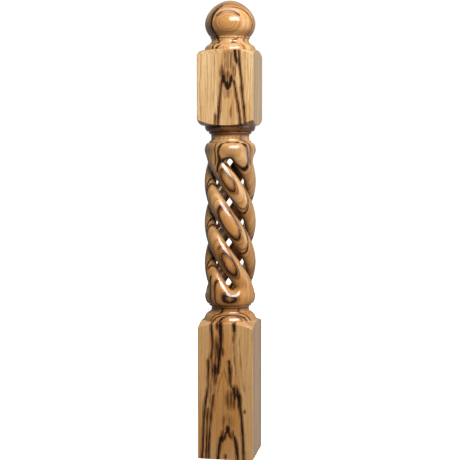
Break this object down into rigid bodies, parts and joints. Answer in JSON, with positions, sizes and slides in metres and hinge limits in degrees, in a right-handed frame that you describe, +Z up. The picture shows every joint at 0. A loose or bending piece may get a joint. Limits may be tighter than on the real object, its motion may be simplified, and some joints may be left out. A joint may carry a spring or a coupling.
{
  "type": "barley twist newel post",
  "caption": "Stair newel post with a ball top, square handrail block, open barley twist of left-hand strands between turned collars, and square foot.",
  "frame": {"origin": "centre of the flat underside, on the floor", "axes": "+Z up along the post, -Y out of the front face of the blocks, +X out of the right-hand face"},
  "size_m": [0.127, 0.127, 1.0391],
  "materials": {
    "streaked_wood": "golden hardwood with near-black streaks, clear satin-gloss varnish"
  },
  "bodies": {
    "root": {"newel_post": "streaked_wood"}
  },
  "joints": []
}
